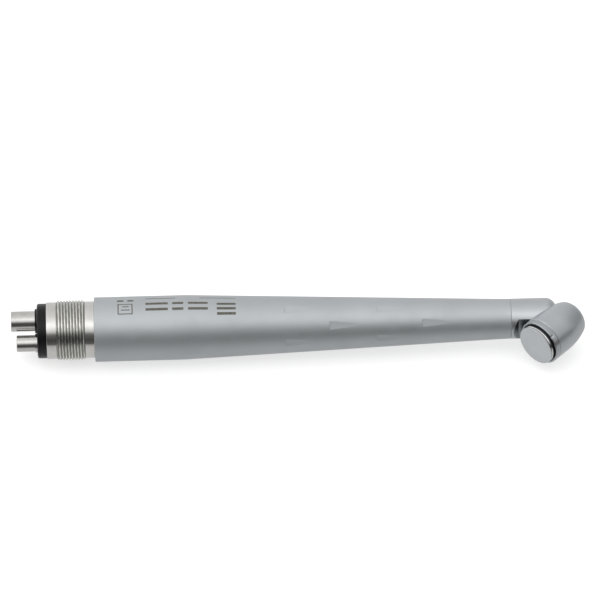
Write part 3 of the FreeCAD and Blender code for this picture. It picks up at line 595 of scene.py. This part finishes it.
def make_mark(name, bars):
    """Thin plates that follow the shell's surface, a few thousandths of a millimetre proud."""
    vertices, faces = [], []
    for (start, end), (first, last) in bars:
        columns = max(2, round((end - start) / MARK_COLUMN))
        rows = max(2, round((last - first) / MARK_ROW))
        base = len(vertices)
        for proud in MARK_LEVELS:
            for column in range(columns + 1):
                along = start + (end - start) * column / columns
                reach = shell_radius(along) + proud
                for row in range(rows + 1):
                    angle = math.radians(first + (last - first) * row / rows)
                    vertices.append(ring_point(along, reach, angle))
        layer = (columns + 1) * (rows + 1)

        def corner(column, row, below):
            return base + column * (rows + 1) + row + layer * below

        for column in range(columns):
            for row in range(rows):
                top = [corner(column, row, 0), corner(column + 1, row, 0),
                       corner(column + 1, row + 1, 0), corner(column, row + 1, 0)]
                faces.append(top)
                faces.append([item + layer for item in reversed(top)])
        for column in range(columns):
            for row, order in ((0, 1), (rows, -1)):
                side = [corner(column, row, 0), corner(column, row, 1),
                        corner(column + 1, row, 1), corner(column + 1, row, 0)]
                faces.append(side[::order])
        for row in range(rows):
            for column, order in ((0, -1), (columns, 1)):
                side = [corner(column, row, 0), corner(column, row, 1),
                        corner(column, row + 1, 1), corner(column, row + 1, 0)]
                faces.append(side[::order])
    mesh = bpy.data.meshes.new(name)
    mesh.from_pydata(vertices, [], faces)
    mesh.materials.append(mark_metal)
    mesh.update()
    piece = bpy.data.objects.new(name, mesh)
    bpy.context.scene.collection.objects.link(piece)
    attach(piece, "handpiece")


for mark_name, mark_bars in MARKS.items():
    make_mark(mark_name, mark_bars)


# ---------------------------------------------------------------- back cap and push button

BARREL_RADIUS = 5.50
CAP_RIM = -11.58
CAP_FLOOR = -10.25
CAP_SEAM = -10.09
CAP_SEAM_RADIUS = 5.40
CAP_RIM_BORE = 5.04
CAP_GUIDE_BORE = 4.90
CAP_THREAD_RADIUS = 4.93
CAP_BORE = 5.1  # what lies nearer the axis is the cap's inside
NOTCH_RADIUS = 0.55
NOTCH_CENTRE = BARREL_RADIUS + 0.36
NOTCH_TURN = math.radians(130)
NOTCH_END = -10.55
NOTCH_RUNOUT = 0.70


def with_notches(along, radius, angle):
    """Two round notches for the cap's spanner, opposite each other, that run out along the cap."""
    if along > NOTCH_END or radius < CAP_BORE:
        return radius
    offset = (angle - NOTCH_TURN + math.pi / 2) % math.pi - math.pi / 2
    across = NOTCH_CENTRE * math.sin(offset)
    if abs(across) >= NOTCH_RADIUS:
        return radius
    floor = NOTCH_CENTRE * math.cos(offset) - math.sqrt(NOTCH_RADIUS ** 2 - across ** 2)
    depth = (BARREL_RADIUS - floor) * min(1.0, (NOTCH_END - along) / NOTCH_RUNOUT)
    return min(radius, BARREL_RADIUS - depth)


# Close rings along the band, so that the notches run out smoothly.
BAND_STATIONS = (-11.30, -11.15, -11.00, -10.85, -10.70, NOTCH_END)
cap_section = rounded([
    (CAP_RIM, CAP_RIM_BORE, 0.03, 0),
    (CAP_RIM, BARREL_RADIUS, 0.20, 0)]
    + [(along, BARREL_RADIUS, 0, 0) for along in BAND_STATIONS]
    + [(-10.22, BARREL_RADIUS, 0.03, 0),
       (-10.16, CAP_SEAM_RADIUS, 0, 0),
       (CAP_SEAM, CAP_SEAM_RADIUS, 0, 0),
       (CAP_SEAM, CAP_THREAD_RADIUS, 0, 0),
       (-8.30, CAP_THREAD_RADIUS, 0, 0),
       (-8.30, 4.42, 0, 0),
       (-6.20, 4.42, 0, 0),
       (-6.20, 3.45, 0, 0),
       (-8.11, 3.45, 0, 0),
       (-8.11, 2.50, 0, 0),
       (-9.35, 2.50, 0, 0),
       (-9.35, 1.55, 0, 0),
       # The cap's floor and the bores round the button carry the painted gap shade.
       (CAP_FLOOR, 1.55, 0, 1),
       (CAP_FLOOR, CAP_GUIDE_BORE, 0, 1),
       (-11.22, CAP_GUIDE_BORE, 0.03, 1),
       (-11.22, CAP_RIM_BORE, 0, 1)])
cap = lathe("back_cap_band", cap_section, HEAD_FRAME, [cap_metal, gap_shade_metal], 360, with_notches)
adopt(cap, "handpiece", "back_cap")

FACE = -12.78
UNDER_FACE = -11.62
SKIRT_END = -10.90
SKIRT_BORE = 4.36
BUTTON_RADIUS = 4.86
GROOVE_RADIUS = 4.79
STEM_RADIUS = 1.50
CLIP_GROOVE_RADIUS = 1.20
STEM_END = -8.80
NEAR_AXIS = 0.02
button_section = rounded([
    (FACE, NEAR_AXIS, 0, 1),
    (FACE, BUTTON_RADIUS, 0.12, 1),
    # The groove under the face's edge, and the skirt from below the bright wall to its end, carry
    # the painted gap shade.
    (-12.64, BUTTON_RADIUS, 0.02, 2),
    (-12.63, GROOVE_RADIUS, 0, 2),
    (-12.43, GROOVE_RADIUS, 0, 0),
    (-12.15, BUTTON_RADIUS, 0.02, 2),
    (SKIRT_END, BUTTON_RADIUS, 0.05, 2),
    (SKIRT_END, SKIRT_BORE, 0, 0),
    (UNDER_FACE, SKIRT_BORE, 0, 0),
    (UNDER_FACE, STEM_RADIUS, 0, 0),
    (-9.34, STEM_RADIUS, 0, 0),
    (-9.34, CLIP_GROOVE_RADIUS, 0, 0),
    (-9.05, CLIP_GROOVE_RADIUS, 0, 0),
    (-9.05, STEM_RADIUS, 0, 0),
    (STEM_END, STEM_RADIUS, 0.05, 0),
    (STEM_END, NEAR_AXIS, 0, 0)])
button = lathe(
    "push_button_cap", button_section, HEAD_FRAME, [rim_metal, face_metal, gap_shade_metal], 288)
adopt(button, "button", "push_button")


# ---------------------------------------------------------------- floor and light

FLOOR_REACH = 6.0
FLOOR_GAP = 0.00005


def make_floor():
    """Pale studio floor that the handpiece lies on, lit a little from below like a light table."""
    mesh = bpy.data.meshes.new("floor")
    low = cad_low[2] - FLOOR_GAP
    sides = ((-1, -1), (1, -1), (1, 1), (-1, 1))
    corners = [(x * FLOOR_REACH, y * FLOOR_REACH, low) for x, y in sides]
    mesh.from_pydata(corners, [], [(0, 1, 2, 3)])
    floor = bpy.data.objects.new("floor", mesh)
    bpy.context.scene.collection.objects.link(floor)
    floor.visible_glossy = False
    n = Nodes("floor_paper")
    n.put("Base Color", (0.5, 0.5, 0.5, 1))
    n.put("Emission Color", (1, 1, 1, 1))
    n.put("Emission Strength", 0.6)
    n.put("Roughness", 0.8)
    n.put("Specular IOR Level", 0.0)
    floor.data.materials.append(n.material)


def softbox(name, place, aim, size, power):
    data = bpy.data.lights.new(name, "AREA")
    data.shape = "RECTANGLE"
    data.size, data.size_y = size
    data.energy = power
    lamp = bpy.data.objects.new(name, data)
    lamp.location = place
    lamp.rotation_euler = (Vector(aim) - Vector(place)).to_track_quat("-Z", "Y").to_euler()
    lamp.visible_glossy = False
    bpy.context.scene.collection.objects.link(lamp)


TENT_STRENGTH = 4.0
# Brightness of the studio by the angle about the handle's direction: 0 is the front horizon,
# 90 overhead, 180 the back horizon and -90 straight down.
AROUND = [
    (-180, 0.80), (-120, 0.70), (-83, 0.68), (-54, 0.70), (-31, 0.64), (-20, 0.50), (-14, 0.14),
    (5, 0.07), (22, 0.14), (30, 0.26), (38, 0.70), (46, 0.98), (55, 1.28), (63, 1.50), (71, 1.48),
    (79, 1.32), (88, 1.12), (105, 0.95), (125, 0.84), (149, 0.78), (180, 0.80)]
# How that changes with the share of the direction that points along the handle, from the hose
# end's side at -1 to the head end's side at 1, above the horizon and below it.
ALONG_SKY = [
    (-1.0, 1.50), (-0.7, 1.45), (-0.3, 1.08), (0.0, 1.0),
    (0.3, 0.96), (0.6, 0.76), (0.9, 0.50), (1.0, 0.46)]
ALONG_FLOOR = [(-1.0, 1.15), (-0.7, 1.12), (0.0, 1.0), (0.5, 1.0), (1.0, 0.95)]


def make_light():
    """A light tent whose brightness depends on direction, a white backdrop and one soft light."""
    softbox("overhead", (0.06, 0.1, 0.9), (0.06, 0.0, 0.0), (1.6, 1.2), 3.5)
    world = bpy.data.worlds.new("studio")
    studio = Tree(world)

    def ramp(source, low, high, stops):
        """Brightness read from a list of stops; a ramp holds up to 1, so it is stored at half."""
        spread = studio.add("ShaderNodeMapRange")
        spread.inputs["From Min"].default_value = low
        spread.inputs["From Max"].default_value = high
        studio.plug(source, spread.inputs["Value"])
        node = studio.add("ShaderNodeValToRGB")
        elements = node.color_ramp.elements
        while len(elements) < len(stops):
            elements.new(0.5)
        for element, (place, level) in zip(elements, stops):
            element.position = (place - low) / (high - low)
            element.color = (level / 2, level / 2, level / 2, 1)
        studio.plug(spread.outputs["Result"], node.inputs["Fac"])
        return node.outputs["Color"]

    split = studio.add("ShaderNodeSeparateXYZ")
    studio.plug(studio.add("ShaderNodeTexCoord").outputs["Generated"], split.inputs[0])
    front = studio.add("ShaderNodeMath", operation="MULTIPLY")
    front.inputs[1].default_value = -1.0
    studio.plug(split.outputs["Y"], front.inputs[0])
    turn = studio.add("ShaderNodeMath", operation="ARCTAN2")
    studio.plug(split.outputs["Z"], turn.inputs[0])
    studio.plug(front.outputs[0], turn.inputs[1])
    degrees = studio.add("ShaderNodeMath", operation="DEGREES")
    studio.plug(turn.outputs[0], degrees.inputs[0])
    above = studio.add("ShaderNodeMapRange", interpolation_type="SMOOTHSTEP")
    above.inputs["From Min"].default_value = -0.25
    above.inputs["From Max"].default_value = 0.0
    studio.plug(split.outputs["Z"], above.inputs["Value"])
    side = studio.add("ShaderNodeMix", data_type="RGBA")
    studio.plug(above.outputs["Result"], side.inputs[0])
    studio.plug(ramp(split.outputs["X"], -1, 1, ALONG_FLOOR), side.inputs[6])
    studio.plug(ramp(split.outputs["X"], -1, 1, ALONG_SKY), side.inputs[7])
    product = studio.add("ShaderNodeVectorMath", operation="MULTIPLY")
    studio.plug(ramp(degrees.outputs[0], -180, 180, AROUND), product.inputs[0])
    studio.plug(side.outputs[2], product.inputs[1])
    tent = studio.tree.nodes["Background"]
    tent.inputs["Strength"].default_value = TENT_STRENGTH
    studio.plug(product.outputs[0], tent.inputs["Color"])
    backdrop = studio.add("ShaderNodeBackground")
    backdrop.inputs["Color"].default_value = (1, 1, 1, 1)
    seen = studio.add("ShaderNodeMixShader")
    studio.plug(studio.add("ShaderNodeLightPath").outputs["Is Camera Ray"], seen.inputs[0])
    studio.plug(tent.outputs[0], seen.inputs[1])
    studio.plug(backdrop.outputs[0], seen.inputs[2])
    studio.plug(seen.outputs[0], studio.tree.nodes["World Output"].inputs["Surface"])
    bpy.context.scene.world = world


make_floor()
make_light()
bpy.context.scene.view_settings.view_transform = "Standard"
